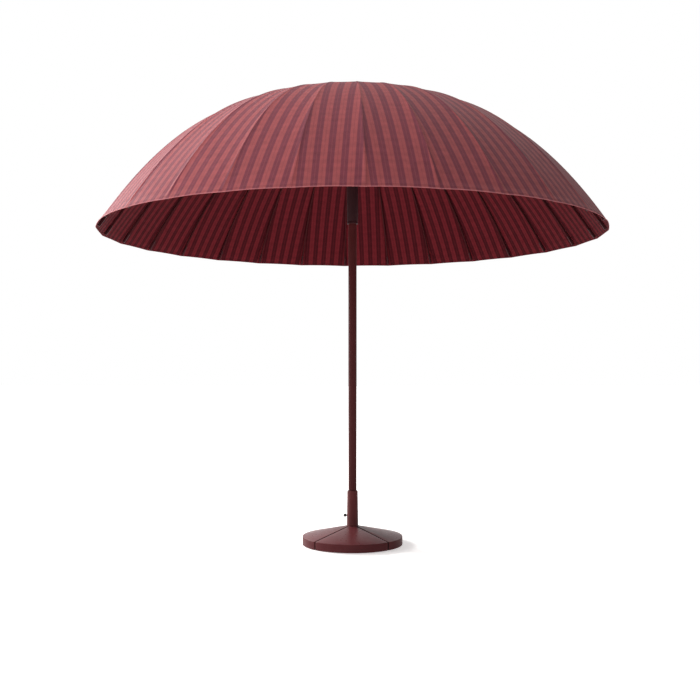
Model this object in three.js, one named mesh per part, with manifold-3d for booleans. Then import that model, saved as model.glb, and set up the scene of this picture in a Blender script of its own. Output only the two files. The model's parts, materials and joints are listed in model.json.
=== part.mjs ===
// A patio umbrella on a round weighted base.
// Millimetres, +Z up, the origin on the floor at the middle of the base, the front towards -Y.
import * as THREE from 'three';
import { mergeVertices } from 'three/addons/utils/BufferGeometryUtils.js';
import Module from 'manifold-3d';

const wasm = await Module();
wasm.setup();

// ---- driving dimensions ----

const canopyRadius = 1500; // to the tips, measured at a seam
const rimHeight = 1850;
const domeRise = 824; // from the rim to the crown
const domePower = 2.78; // flat at the crown, steep at the rim
const canopyThickness = 2;

const ribCount = 28;
const firstRibAngle = 3.8; // degrees from the front, towards +X
const ribWidth = 7;
const ribDepth = 12;
const ribSteps = 10;
const ribTipInset = 12;
const hubPivotRadius = 62;

const strutEvery = 2; // one strut on every second rib
const strutWidth = 5;
const strutDepth = 12;
const strutRibRadius = 450; // where a strut meets its rib
const runnerPivotRadius = 46;
const runnerDrop = 412; // from the hub's pivots down to the runner's

const wireDiameter = 2.5;
const wireHole = 4.6;

const poleDiameter = 50;
const poleWall = 2;
const runnerWall = 7;
const runnerLength = 330;
const lockPinDiameter = 8;
const lockPinRise = 60; // above the runner's lower end

const socketTop = 321;
const socketBottomWall = 6;
const socketTopWall = 2.3;
const bushWall = 4;
const collarHeight = 8;
const flangeWidth = 30; // from the socket's lower end outwards
const flangeHeight = 8;
const clampHeight = 173;
const clampStandoff = 9; // from the socket's lower radius to the middle of the ball
const clampBallDiameter = 20;
const clampScrewDiameter = 8;

const baseRadius = 300;
const baseEdge = 51; // height of the upright edge
const baseCrown = 110; // height of the cone beside the socket
const edgeRounding = 3;
const weightGap = 8; // between two neighbouring weights
const plateThickness = 6;
const plateInset = 10;
const padHeight = 6;
const padWidth = 30;
const skirtLift = 4; // from the floor to a weight's lower edge

// ---- clearances ----

const touching = 0.3; // between pieces that rest on each other
const clothGap = 1.5; // between the cloth and a rib
const sideGap = 0.4; // on each side of a rib or strut in its slot
const strutGap = 1.5; // between a strut and the rib beside it
const runningGap = 1; // runner on pole
const turningGap = 0.4; // pole in bush
const weightClearance = 1.5; // weight round socket, and over its flange
const drilledGap = 0.5; // round a pin in its hole

const roundSteps = 28;
const baseSteps = 48;
const wireSteps = 40;

// ---- materials ----

const finish = (color, roughness, metalness) =>
  new THREE.MeshStandardMaterial({ color, roughness, metalness });
const cloth = finish('#8a3038', 0.95, 0);
const burgundyPaint = finish('#5a2328', 0.45, 0.1);
const basePaint = finish('#6b3438', 0.5, 0.1);
const ribPaint = finish('#2c1416', 0.5, 0);
const steel = finish('#8f8f92', 0.35, 1);
const blackPlastic = finish('#161416', 0.45, 0);
const rubber = finish('#1b1a1a', 0.9, 0);

// ---- helpers ----

const degrees = Math.PI / 180;
const at = (r, z) => new THREE.Vector2(r, z);

// Turns a closed profile of (radius, height) points about the Z axis.
function turned(points, steps = roundSteps, startAngle = 0) {
  const geometry = new THREE.LatheGeometry(points, steps, startAngle * degrees);
  return geometry.rotateX(Math.PI / 2);
}

// The solid of a closed mesh: shared corners merged, faces with no area left out.
function solid(geometry) {
  const bare = geometry.clone();
  bare.deleteAttribute('normal');
  bare.deleteAttribute('uv');
  const merged = mergeVertices(bare, 1e-4);
  const corners = merged.index.array;
  const faces = [];
  for (let i = 0; i < corners.length; i += 3) {
    const [a, b, c] = corners.slice(i, i + 3);
    if (a !== b && b !== c && c !== a) faces.push(a, b, c);
  }
  const mesh = new wasm.Mesh({
    numProp: 3,
    vertProperties: new Float32Array(merged.attributes.position.array),
    triVerts: new Uint32Array(faces),
  });
  return new wasm.Manifold(mesh);
}

function geometryOf(manifold) {
  const mesh = manifold.getMesh();
  const geometry = new THREE.BufferGeometry();
  geometry.setAttribute('position', new THREE.BufferAttribute(mesh.vertProperties, 3));
  geometry.setIndex(new THREE.BufferAttribute(mesh.triVerts, 1));
  return geometry;
}

// A block standing in the slot of the piece at this angle, from one radius to another.
function slotBlock(angle, fromRadius, toRadius, offset, width, fromZ, toZ) {
  const block = new THREE.BoxGeometry(toRadius - fromRadius, width, toZ - fromZ);
  block.translate((fromRadius + toRadius) / 2, offset, (fromZ + toZ) / 2);
  return solid(block.rotateZ(angle));
}

// A round bar along Y, its middle at the origin.
function bar(diameter, length, steps = 12) {
  return new THREE.CylinderGeometry(diameter / 2, diameter / 2, length, steps);
}

const model = new THREE.Group();

function add(name, geometry, material, parent = model) {
  const mesh = new THREE.Mesh(geometry, material);
  mesh.name = name;
  parent.add(mesh);
  return mesh;
}

// ---- the dome ----

const domeHeight = (r) => rimHeight + domeRise * (1 - (r / canopyRadius) ** domePower);
const domeSlope = (r) => (domeRise * domePower * (r / canopyRadius) ** (domePower - 1)) / canopyRadius;

// A point that lies this far inside the dome's outer face, measured square to it.
function insideDome(r, depth) {
  const tilt = Math.atan(domeSlope(r));
  return at(r - depth * Math.sin(tilt), domeHeight(r) - depth * Math.cos(tilt));
}

const ribAngles = Array.from({ length: ribCount }, (_, i) => firstRibAngle + (i * 360) / ribCount);
const directionOf = (angle) => (angle - 90) * degrees; // from +X, for an angle from the front
const ribMiddleDepth = canopyThickness + clothGap + ribDepth / 2;
const hubPivot = insideDome(hubPivotRadius, ribMiddleDepth);
const number = (i) => String(i + 1).padStart(2, '0');

// The radii at which both the cloth and the ribs bend, closer together towards the rim.
const ribEnd = canopyRadius - ribTipInset;
const stationAt = (i) => hubPivotRadius + (ribEnd - hubPivotRadius) * (i / ribSteps) ** 0.9;
const stations = Array.from({ length: ribSteps + 1 }, (_, i) => stationAt(i));

// ---- canopy ----

function canopy() {
  const along = [0, ...stations, canopyRadius];
  const outer = along.map((r) => at(r, domeHeight(r)));
  const inner = along.map((r) => insideDome(r, canopyThickness));
  const points = [...inner, ...outer.reverse()];
  points[0].x = 0;
  return turned(points, ribCount, firstRibAngle);
}
add('canopy', canopy(), cloth);

// ---- ribs ----

function rib() {
  const upper = stations.slice(1).map((r) => insideDome(r, canopyThickness + clothGap));
  const lower = stations.slice(1).map((r) => insideDome(r, canopyThickness + clothGap + ribDepth));
  const outline = new THREE.Shape();
  outline.absarc(hubPivot.x, hubPivot.y, ribDepth / 2, 1.5 * Math.PI, 0.5 * Math.PI, true);
  upper.forEach((p) => outline.lineTo(p.x, p.y));
  lower.reverse().forEach((p) => outline.lineTo(p.x, p.y));
  const eye = new THREE.Path();
  eye.absarc(hubPivot.x, hubPivot.y, wireHole / 2, 0, 2 * Math.PI);
  outline.holes.push(eye);
  return upright(outline, ribWidth, 0);
}

// Stands a flat outline up in the radial plane, with this thickness and place across it.
function upright(outline, thickness, offset) {
  const plate = new THREE.ExtrudeGeometry(outline, {
    depth: thickness,
    bevelEnabled: false,
    curveSegments: 6,
  });
  plate.translate(0, 0, -thickness / 2 - offset);
  return plate.rotateX(Math.PI / 2);
}

const ribShape = rib();
ribAngles.forEach((angle, i) => {
  add(`rib_${number(i)}`, ribShape, ribPaint).rotation.z = directionOf(angle);
});

// ---- struts ----

const strutOffset = (ribWidth + strutWidth) / 2 + strutGap;
const runnerPivotHeight = hubPivot.y - runnerDrop;
const strutInner = at(Math.sqrt(runnerPivotRadius ** 2 - strutOffset ** 2), runnerPivotHeight);
const strutOuter = insideDome(strutRibRadius, ribMiddleDepth + ribDepth / 3);
const strutAngles = ribAngles.filter((_, i) => i % strutEvery === 0);

function strut() {
  const lean = Math.atan2(strutOuter.y - strutInner.y, strutOuter.x - strutInner.x);
  const outline = new THREE.Shape();
  outline.absarc(strutInner.x, strutInner.y, strutDepth / 2, lean + 0.5 * Math.PI, lean + 1.5 * Math.PI);
  outline.absarc(strutOuter.x, strutOuter.y, strutDepth / 2, lean - 0.5 * Math.PI, lean + 0.5 * Math.PI);
  for (const end of [strutInner, strutOuter]) {
    const eye = new THREE.Path();
    eye.absarc(end.x, end.y, wireHole / 2, 0, 2 * Math.PI);
    outline.holes.push(eye);
  }
  return upright(outline, strutWidth, strutOffset);
}

const strutShape = strut();
strutAngles.forEach((angle, i) => {
  add(`strut_${number(i * strutEvery)}`, strutShape, ribPaint).rotation.z = directionOf(angle);
});

// ---- hub, on the top of the pole ----

const poleRadius = poleDiameter / 2;
const hubTop = insideDome(hubPivotRadius, canopyThickness).y - clothGap;
const hubBottom = hubPivot.y - ribDepth * 1.5;
const hubRadius = hubPivotRadius + ribDepth;
const hubSlotStart = hubPivotRadius - ribDepth / 2 - clothGap;
const hubSleeveBottom = hubBottom - poleDiameter;
const hubSleeveRadius = poleRadius + runnerWall;
const poleTop = hubTop - ribDepth;

function grooveFor(wireRadius, wireZ, topZ) {
  const half = wireDiameter / 2 + drilledGap;
  return solid(turned([
    at(wireRadius - half, wireZ - half),
    at(wireRadius + half, wireZ - half),
    at(wireRadius + half, topZ),
    at(wireRadius - half, topZ),
    at(wireRadius - half, wireZ - half),
  ]));
}

function hub() {
  const bore = poleRadius + touching;
  let body = solid(turned([
    at(0, poleTop + touching),
    at(bore, poleTop + touching),
    at(bore, hubSleeveBottom),
    at(hubSleeveRadius, hubSleeveBottom),
    at(hubSleeveRadius, hubBottom),
    at(hubRadius, hubBottom),
    at(hubRadius, hubTop),
    at(0, hubTop),
  ]));
  for (const angle of ribAngles) {
    body = body.subtract(slotBlock(directionOf(angle), hubSlotStart, hubRadius + 1, 0,
      ribWidth + 2 * sideGap, hubBottom - 1, hubTop + 1));
  }
  return geometryOf(body.subtract(grooveFor(hubPivotRadius, hubPivot.y, hubTop + 1)));
}
add('hub', hub(), blackPlastic);

function wireRing(radius, z) {
  return new THREE.TorusGeometry(radius, wireDiameter / 2, 5, wireSteps).translate(0, 0, z);
}
add('rib_ring', wireRing(hubPivotRadius, hubPivot.y), steel);

// ---- runner, with its lock pin at the back ----

const runnerInside = poleRadius + runningGap;
const runnerOutside = runnerInside + runnerWall;
const runnerTop = runnerPivotHeight + strutDepth * 0.75;
const runnerBottom = runnerTop - runnerLength;
const runnerFlangeRadius = runnerPivotRadius + strutDepth * 0.8;
const strutSlotFloor = runnerPivotHeight - strutDepth / 2 - clothGap;
const runnerFlangeBottom = strutSlotFloor - 3;
const lockPinHeight = runnerBottom + lockPinRise;
const lockPinHole = lockPinDiameter + 2 * drilledGap;

// A round hole from the axis out towards +X, to be turned to its direction.
function sideHole(diameter, length, z, direction) {
  const hole = bar(diameter, length).rotateZ(Math.PI / 2).translate(length / 2, 0, z);
  return solid(hole.rotateZ(direction));
}

const towardsBack = 0.5 * Math.PI;
const towardsLeft = Math.PI;

function runner() {
  let body = solid(turned([
    at(runnerInside, runnerBottom),
    at(runnerOutside, runnerBottom),
    at(runnerOutside, runnerFlangeBottom),
    at(runnerFlangeRadius, runnerFlangeBottom),
    at(runnerFlangeRadius, runnerTop),
    at(runnerInside, runnerTop),
    at(runnerInside, runnerBottom),
  ]));
  const slotStart = strutInner.x - strutDepth / 2 - clothGap;
  for (const angle of strutAngles) {
    body = body.subtract(slotBlock(directionOf(angle), slotStart, runnerFlangeRadius + 2, strutOffset,
      strutWidth + 2 * sideGap, strutSlotFloor, runnerTop + 1));
  }
  body = body.subtract(grooveFor(runnerPivotRadius, runnerPivotHeight, runnerTop + 1));
  return geometryOf(body.subtract(sideHole(lockPinHole, runnerOutside + 1, lockPinHeight, towardsBack)));
}
add('runner', runner(), burgundyPaint);
add('strut_ring', wireRing(runnerPivotRadius, runnerPivotHeight), steel);

// A stem with a round head, turned about its own axis, lying along +X from stemStart.
function headedPin(diameter, stemStart, headStart, headEnd, headDiameter) {
  const rim = (headEnd - headStart) * 0.2;
  const pin = new THREE.LatheGeometry([
    at(0, stemStart),
    at(diameter / 2, stemStart),
    at(diameter / 2, headStart),
    at(headDiameter / 2, headStart),
    at(headDiameter / 2, headEnd - rim),
    at(headDiameter / 2 - rim, headEnd),
    at(0, headEnd),
  ], 14);
  return pin.rotateZ(-Math.PI / 2);
}

const lockPin = headedPin(lockPinDiameter, poleRadius + touching, runnerOutside + 3,
  runnerOutside + 14, lockPinDiameter * 2);
const lockPinMesh = add('lock_pin', lockPin, steel);
lockPinMesh.rotation.z = towardsBack;
lockPinMesh.position.z = lockPinHeight;

// ---- pole, with a plug in its foot ----

const plateTop = padHeight + touching + plateThickness;
const footFlange = 4;
const footStem = 24;
const poleBottom = plateTop + footFlange + 2 * touching;

function pole() {
  const tube = solid(turned([
    at(poleRadius - poleWall, poleBottom),
    at(poleRadius, poleBottom),
    at(poleRadius, poleTop),
    at(poleRadius - poleWall, poleTop),
    at(poleRadius - poleWall, poleBottom),
  ]));
  return geometryOf(tube.subtract(sideHole(lockPinHole, poleRadius + 1, lockPinHeight, towardsBack)));
}
add('pole', pole(), burgundyPaint);

const footStemRadius = poleRadius - poleWall - touching;
add('pole_foot', turned([
  at(0, plateTop + touching),
  at(poleRadius, plateTop + touching),
  at(poleRadius, plateTop + touching + footFlange),
  at(footStemRadius, plateTop + touching + footFlange),
  at(footStemRadius, plateTop + touching + footFlange + footStem),
  at(0, plateTop + touching + footFlange + footStem),
]), blackPlastic);

// ---- socket and bush ----

const bushInside = poleRadius + turningGap;
const bushOutside = bushInside + bushWall;
const socketBore = bushOutside + touching;
const socketBottomRadius = socketBore + socketBottomWall;
const socketTopRadius = socketBore + socketTopWall;
const flangeRadius = socketBottomRadius + flangeWidth;
const socketBottom = plateTop + touching;
const socketTubeTop = socketTop - collarHeight;
const bushBottom = socketBottom + flangeHeight + collarHeight;
const clampHole = clampScrewDiameter + 2 * drilledGap;

function socket() {
  const body = solid(turned([
    at(socketBore, socketBottom),
    at(flangeRadius, socketBottom),
    at(flangeRadius, socketBottom + flangeHeight),
    at(socketBottomRadius, socketBottom + flangeHeight),
    at(socketTopRadius, socketTubeTop),
    at(socketBore, socketTubeTop),
    at(socketBore, socketBottom),
  ]));
  return geometryOf(body.subtract(sideHole(clampHole, 2 * socketBottomRadius, clampHeight, towardsLeft)));
}
add('socket', socket(), basePaint);

function bush() {
  const collarBottom = socketTubeTop + touching;
  const chamfer = bushWall / 2;
  const body = solid(turned([
    at(bushInside, bushBottom),
    at(bushOutside, bushBottom),
    at(bushOutside, collarBottom),
    at(socketTopRadius, collarBottom),
    at(socketTopRadius, socketTop - chamfer),
    at(socketTopRadius - chamfer, socketTop),
    at(bushInside, socketTop),
    at(bushInside, bushBottom),
  ]));
  return geometryOf(body.subtract(sideHole(clampHole, 2 * socketBottomRadius, clampHeight, towardsLeft)));
}
add('pole_bush', bush(), blackPlastic);

// ---- clamp screw and its ball ----

const ballRadius = clampBallDiameter / 2;
const clampReach = socketBottomRadius + clampStandoff; // from the pole's axis to the middle of the ball
const ballFlat = clampReach - ballRadius * Math.cos(Math.asin(clampScrewDiameter / clampBallDiameter));
const screwStart = poleRadius + touching;
const screwEnd = ballFlat - touching;

const clampScrew = add('clamp_screw', bar(clampScrewDiameter, screwEnd - screwStart), steel);
clampScrew.rotation.z = Math.PI / 2;
clampScrew.position.set(-(screwStart + screwEnd) / 2, 0, clampHeight);

// The ball has a flat where the screw enters it.
function clampBall() {
  const flatAngle = Math.asin(clampScrewDiameter / clampBallDiameter);
  const steps = 8;
  const points = [at(0, ballFlat)];
  for (let i = 0; i <= steps; i++) {
    const angle = Math.PI - flatAngle - (i / steps) * (Math.PI - flatAngle);
    points.push(at(ballRadius * Math.sin(angle), clampReach + ballRadius * Math.cos(angle)));
  }
  points.at(-1).x = 0;
  return new THREE.LatheGeometry(points, 16).rotateZ(Math.PI / 2);
}
add('clamp_knob', clampBall(), blackPlastic).position.z = clampHeight;

// ---- base ----

const plateRadius = baseRadius - plateInset;
add('base_plate', turned([
  at(0, padHeight + touching),
  at(plateRadius, padHeight + touching),
  at(plateRadius, plateTop),
  at(0, plateTop),
], baseSteps), steel);

const padOutside = plateRadius - padWidth;
add('base_pad_ring', turned([
  at(padOutside - padWidth, 0),
  at(padOutside, 0),
  at(padOutside, padHeight),
  at(padOutside - padWidth, padHeight),
  at(padOutside - padWidth, 0),
], baseSteps), rubber);

// The four weights as one turned ring: a shallow cone with an upright edge and a skirt over the plate.
function weightRing() {
  const inside = socketBottomRadius + weightClearance;
  const reliefRadius = flangeRadius + weightClearance;
  const reliefTop = socketBottom + flangeHeight + weightClearance;
  const underside = plateTop + touching;
  const skirtInside = plateRadius + weightClearance;
  const points = [
    at(inside, reliefTop),
    at(reliefRadius, reliefTop),
    at(reliefRadius, underside),
    at(skirtInside, underside),
    at(skirtInside, skirtLift),
  ];
  const corners = 3;
  for (let i = 0; i <= corners; i++) {
    const angle = (-0.5 + (0.5 * i) / corners) * Math.PI;
    points.push(at(baseRadius - edgeRounding * (1 - Math.cos(angle)),
      skirtLift + edgeRounding * (1 + Math.sin(angle))));
  }
  for (let i = 0; i <= corners; i++) {
    const angle = ((0.5 * i) / corners) * Math.PI;
    points.push(at(baseRadius - edgeRounding * (1 - Math.cos(angle)),
      baseEdge - edgeRounding * (1 - Math.sin(angle))));
  }
  points.push(at(inside, baseCrown), at(inside, reliefTop));
  return solid(turned(points, baseSteps));
}

// A weight is the quarter of the ring between two diagonals, less half the gap on each side.
function weight(direction) {
  const reach = 2 * baseRadius;
  const start = weightGap / Math.SQRT2;
  const quarter = new THREE.Shape([at(start, 0), at(start + reach, -reach), at(start + reach, reach)]);
  const prism = new THREE.ExtrudeGeometry(quarter, { depth: 2 * baseCrown, bevelEnabled: false });
  return geometryOf(weightRing().intersect(solid(prism.rotateZ(direction))));
}
['right', 'back', 'left', 'front'].forEach((side, i) => {
  add(`base_weight_${side}`, weight((i * Math.PI) / 2), basePaint);
});

export default model;
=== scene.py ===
"""A patio umbrella on a round weighted base.

It has a striped cloth dome on 28 ribs, a painted pole and four base weights. Metres, +Z up, the
origin on the floor at the middle of the base, the front towards -Y.
"""
import json
import math

import bpy
from mathutils import Matrix, Vector


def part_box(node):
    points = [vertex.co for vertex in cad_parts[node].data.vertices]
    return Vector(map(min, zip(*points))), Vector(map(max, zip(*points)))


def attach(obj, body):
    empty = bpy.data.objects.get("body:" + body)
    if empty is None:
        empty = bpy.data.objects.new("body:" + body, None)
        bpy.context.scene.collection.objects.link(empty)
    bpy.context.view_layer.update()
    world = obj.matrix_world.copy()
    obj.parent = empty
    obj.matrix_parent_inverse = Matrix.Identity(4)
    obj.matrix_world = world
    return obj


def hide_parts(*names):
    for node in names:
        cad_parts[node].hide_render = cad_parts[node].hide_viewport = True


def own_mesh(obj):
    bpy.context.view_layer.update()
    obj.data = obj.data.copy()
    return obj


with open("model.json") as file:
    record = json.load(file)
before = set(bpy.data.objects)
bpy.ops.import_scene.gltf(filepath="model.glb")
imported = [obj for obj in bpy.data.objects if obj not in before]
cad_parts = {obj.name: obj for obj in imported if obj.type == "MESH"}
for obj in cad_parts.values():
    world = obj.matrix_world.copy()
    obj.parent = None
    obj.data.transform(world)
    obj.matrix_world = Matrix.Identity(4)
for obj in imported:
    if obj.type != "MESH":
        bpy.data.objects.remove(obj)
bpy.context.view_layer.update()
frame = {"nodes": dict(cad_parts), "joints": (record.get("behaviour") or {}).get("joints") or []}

# ---- driving dimensions, the same as the frame's ----

CANOPY_RADIUS = 1.5
RIM_HEIGHT = 1.85
DOME_RISE = 0.824
DOME_POWER = 2.78
RIB_COUNT = 28
HALF_GORE = math.pi / RIB_COUNT
RIB_WIDTH = 0.007
RIB_DEPTH = 0.012
RIB_TOP_DEPTH = 0.0035  # from the dome's outer face to a rib's upper edge
RIB_TIP_INSET = 0.012
HUB_PIVOT_RADIUS = 0.062

STRUT_WIDTH = 0.005
STRUT_DEPTH = 0.012
STRUT_OFFSET = 0.0075  # from a rib's middle plane to its strut's
STRUT_RIB_RADIUS = 0.45
STRUT_PIVOT_DEPTH = 0.0135  # from the dome's outer face to the strut's outer pivot
WIRE_HOLE = 0.0046

POLE_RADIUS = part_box("pole")[1].x
BUSH_INSIDE = POLE_RADIUS + 0.0004
BUSH_OUTSIDE = BUSH_INSIDE + 0.004
FLANGE_WIDTH = 0.03  # from the socket's lower end outwards
FLANGE_HEIGHT = 0.008
SOCKET_FOOT_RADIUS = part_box("socket")[1].x - FLANGE_WIDTH
BASE_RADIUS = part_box("base_weight_right")[1].x
BASE_EDGE = 0.051  # height of the upright edge
WEIGHT_GAP = 0.008
JOINTS = {joint["name"]: joint for joint in frame["joints"]}

# ---- cloth sizes ----

CLOTH_THICKNESS = 0.0008
STRIPE_PERIOD = 0.065
LIGHT_GORE_STEP = 4  # one gore in four has a light stripe down its middle, the others a dark one
FIRST_LIGHT_GORE = 1
CROSS_BAND_PITCH = 0.055
SEAM_HALF_WIDTH = 0.0045
SEAM_SHOULDER = 0.0015
SEAM_LIFT = 0.0009
GORE_SAG = 0.006
HEM_FULLNESS = 0.6  # 0 is a straight hem between two ribs, and 1 is the rim's full circle
HEM_DEPTH = 0.024
HEM_LIFT = 0.0009
ROLL_LIFT = 0.0022
ROLL_RADIUS = 0.002
# the width of the painted highlight along the hem's folded edge
HEM_HIGHLIGHT_WIDTH = 0.008
CAP_RADIUS = 0.088
PUCKER_HEIGHT = 0.0007
PUCKER_PITCH = 0.052
PANEL_ROWS = 64  # from the hub to the hem
PANEL_STEPS = 8  # from a seam's fold to the gore's middle
CAP_ROWS = 12
CAP_EYE = 0.004  # radius of the cap's innermost row
CAP_LIFT = 0.0032  # from the dome's face to the cap's
CLOTH_SMOOTH = math.radians(50)
WEAVE_PITCH = 0.003
STREAKS_ACROSS, STREAKS_ALONG = 700, 9  # lumps per metre in the yarns' uneven dye
STITCH_PITCH = 0.006
STITCH_SHARE = 0.66  # how much of the pitch is thread
STITCH_SHADE = 0.45  # how much darker the thread is
STITCH_DEPTH = 3.0  # against the weave's own
SEAM_STITCHES = SEAM_HALF_WIDTH * 0.8  # from the seam
HEM_STITCHES = HEM_DEPTH * 0.85  # from the rim
CAP_STITCHES = 0.006  # from the cap's edge

# ---- sizes of the fittings ----

REST_GAP = 0.0003  # between two parts that sit on each other
SLOT_PLAY = 0.0008  # by which a slot is wider than its rib or strut
PIVOT_PLAY = 0.0015  # between the end of a strut's eye and its slot
OVERCUT = 0.001  # by which a cutter stands out of what it cuts
CROSS_HOLE = 0.0045  # radius of the holes for the lock pin and the clamp screw
RIB_STATIONS = 36
BAR_ROUNDING = 0.18  # of a bar's width
TIP_CAP_LENGTH = 0.035
TIP_CAP_MARGIN = 0.003  # by which the cap is wider and deeper than the rib
TIP_CAP_ROUNDING = 0.0014
EYE_OVERLAP = 0.004  # by which a strut's bar stops short of its pivots
RIVET_RADIUS = WIRE_HOLE * 0.48
RIVET_STAND = 0.0012  # how far each of its ends stands out
HUB_WALL = 0.007
HUB_EYE = 0.004  # radius of the hole in the crown
HUB_SLOT_REACH = 0.0075  # how far a rib's slot goes inwards of its pivot
RUNNER_GAP = 0.001
RUNNER_WALL = 0.007
RUNNER_FLOOR = 0.003  # under the struts' slots
RUNNER_LIP = 0.0015
RUNNER_GROOVE = 0.001
PIN_CORE = 0.0008  # radius of the hole down a turned pin's middle
PIN_STEM = 0.004
PULL_LENGTH = 0.011
POLE_WALL = 0.002
# Out from the socket's foot and up from the flange.
WELD_BEAD = [(0.005, 0.0), (0.0035, 0.0025), (0.001, 0.0042), (0.0, 0.0055)]
COLLAR_CHAMFER = 0.002
SCREW_CORE = 0.0006
THREAD_PITCH = 0.00125
THREAD_DEPTH = 0.0006
KNOB_NECK = 0.0045
BASE_STEPS = 144
EDGE_BAND = 0.002  # how far inwards from the rim the upright edge gets the darker paint, a painted shade
WEIGHT_CLEARANCE = 0.0015
WEIGHT_ROUNDING = 0.004
PAD_WIDTH = 0.03
PAD_GROOVES = 3

# ---- studio and camera ----

FLOOR_SIZE = 120
GLOW_START, GLOW_END = 2.0, 8.0  # the floor's glow grows between these distances
WALL_BRIGHT_SIDE = (-0.8, 0.5, 0.33)
WALL_DIM = 0.22
LENS_MM, SENSOR_MM = 46.6, 36
CAMERA_PLACE = (0.1433, -5.4731, 1.034)
CAMERA_AIM = (-0.0151, 0, 1.167)


# ---- making pieces by hand ----

def deselect():
    if bpy.context.object and bpy.context.object.mode != "OBJECT":
        bpy.ops.object.mode_set(mode="OBJECT")
    bpy.ops.object.select_all(action="DESELECT")


def take(piece):
    """The piece becomes the only one selected, and the active one."""
    deselect()
    piece.select_set(True)
    bpy.context.view_layer.objects.active = piece


def named(name):
    piece = bpy.context.object
    piece.name = piece.data.name = name
    return piece


def settle(piece):
    """The place goes into the mesh, doubles are merged and faces turned outwards."""
    take(piece)
    bpy.ops.object.transform_apply(location=True, rotation=True, scale=True)
    bpy.ops.object.mode_set(mode="EDIT")
    bpy.ops.mesh.select_all(action="SELECT")
    bpy.ops.mesh.remove_doubles(threshold=1e-5)
    bpy.ops.mesh.normals_make_consistent(inside=False)
    bpy.ops.object.mode_set(mode="OBJECT")
    return piece


def choose(piece, test):
    """Selects the faces whose middle and normal pass the test, and nothing else.

    The piece is in edit mode after it.
    """
    take(piece)
    bpy.ops.object.mode_set(mode="EDIT")
    bpy.ops.mesh.select_mode(type="FACE")
    bpy.ops.mesh.select_all(action="DESELECT")
    bpy.ops.object.mode_set(mode="OBJECT")
    for face in piece.data.polygons:
        face.select = test(face.center, face.normal)
    bpy.ops.object.mode_set(mode="EDIT")


def apply_modifier(piece, kind, **settings):
    take(piece)
    modifier = piece.modifiers.new(kind.lower(), kind)
    for name, value in settings.items():
        setattr(modifier, name, value)
    bpy.ops.object.modifier_apply(modifier=modifier.name)


def soften(piece, width, segments=2, angle=30, smooth=35):
    """Rounds every edge sharper than the angle, and shades the rest smooth."""
    apply_modifier(piece, "BEVEL", width=width, segments=segments, limit_method="ANGLE",
                   angle_limit=math.radians(angle), harden_normals=False)
    take(piece)
    bpy.ops.object.shade_smooth_by_angle(angle=math.radians(smooth))


def turned(name, profile, steps=64):
    """A round piece with a bore: a circle drawn out through a closed profile of radius and height."""
    deselect()
    radius, height = profile[0]
    bpy.ops.mesh.primitive_circle_add(vertices=steps, radius=radius, location=(0, 0, height))
    piece = named(name)
    bpy.ops.object.mode_set(mode="EDIT")
    for next_radius, next_height in profile[1:] + profile[:1]:
        bpy.ops.mesh.extrude_edges_move(TRANSFORM_OT_translate={"value": (0, 0, next_height - height)})
        grow = next_radius / radius
        bpy.ops.transform.resize(value=(grow, grow, 1), center_override=(0, 0, next_height))
        radius, height = next_radius, next_height
    return settle(piece)


def round_bar(name, radius, start, end, steps=32):
    """A plain round bar from one point to another."""
    deselect()
    start, end = Vector(start), Vector(end)
    bpy.ops.mesh.primitive_cylinder_add(
        vertices=steps, radius=radius, depth=(end - start).length, location=(start + end) / 2,
        rotation=(end - start).to_track_quat("Z", "Y").to_euler())
    return named(name)


def block(name, low, high, turn):
    """A box between two corners, turned about the pole's axis."""
    deselect()
    low, high = Vector(low), Vector(high)
    bpy.ops.mesh.primitive_cube_add(size=1, location=(low + high) / 2, scale=high - low)
    piece = named(name)
    bpy.ops.object.transform_apply(location=True, rotation=True, scale=True)
    piece.data.transform(Matrix.Rotation(turn, 4, "Z"))
    return piece


def join(pieces):
    take(pieces[0])
    for piece in pieces[1:]:
        piece.select_set(True)
    bpy.ops.object.join()
    return pieces[0]


def cut(piece, cutters):
    """Cuts the cutters, joined into one, out of the piece."""
    cutter = join(cutters)
    apply_modifier(piece, "BOOLEAN", object=cutter, operation="DIFFERENCE", solver="EXACT")
    bpy.data.objects.remove(cutter)


def turned_copy(piece, name, turn):
    """A copy with its own mesh, turned about the pole's axis."""
    copy = piece.copy()
    copy.data = piece.data.copy()
    copy.name = copy.data.name = name
    copy.data.transform(Matrix.Rotation(turn, 4, "Z"))
    bpy.context.scene.collection.objects.link(copy)
    return copy


def finish_piece(piece, body, slot, *nodes):
    """Rides on its body and stands for its CAD nodes; its finish slot is not used."""
    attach(piece, body)
    if nodes:
        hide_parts(*nodes)


def mid_height(node):
    """The height of a CAD node's middle."""
    low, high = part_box(node)
    return (low.z + high.z) / 2


def coat(piece, *materials):
    piece.data.materials.clear()
    for material in materials:
        piece.data.materials.append(material)


# ---- materials ----

def linear(colour):
    """An sRGB hex colour as the linear numbers that a shader takes."""
    parts = [int(colour[i:i + 2], 16) / 255 for i in (1, 3, 5)]
    return tuple(c / 12.92 if c <= 0.04045 else ((c + 0.055) / 1.055) ** 2.4 for c in parts) + (1,)


def add_node(tree, kind, settings=(), **inputs):
    """A node with its settings, and each named input set to a value or linked to an output."""
    node = tree.nodes.new(kind)
    for name, value in dict(settings).items():
        setattr(node, name, value)
    for name, value in inputs.items():
        key = int(name[1:]) if name[1:].isdigit() else name.replace("_", " ")
        if isinstance(value, bpy.types.NodeSocket):
            tree.links.new(value, node.inputs[key])
        else:
            node.inputs[key].default_value = value
    return node


def maths(tree, operation, *values):
    named_values = {f"i{i}": value for i, value in enumerate(values)}
    return add_node(tree, "ShaderNodeMath", {"operation": operation}, **named_values).outputs[0]


def blank(name, **sockets):
    """A material with one Principled shader, whose sockets are set."""
    material = bpy.data.materials.new(name)
    material.use_nodes = True
    tree = material.node_tree
    shader = tree.nodes["Principled BSDF"]
    for socket, value in sockets.items():
        shader.inputs[socket.replace("_", " ")].default_value = value
    return material, tree, shader


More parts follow.
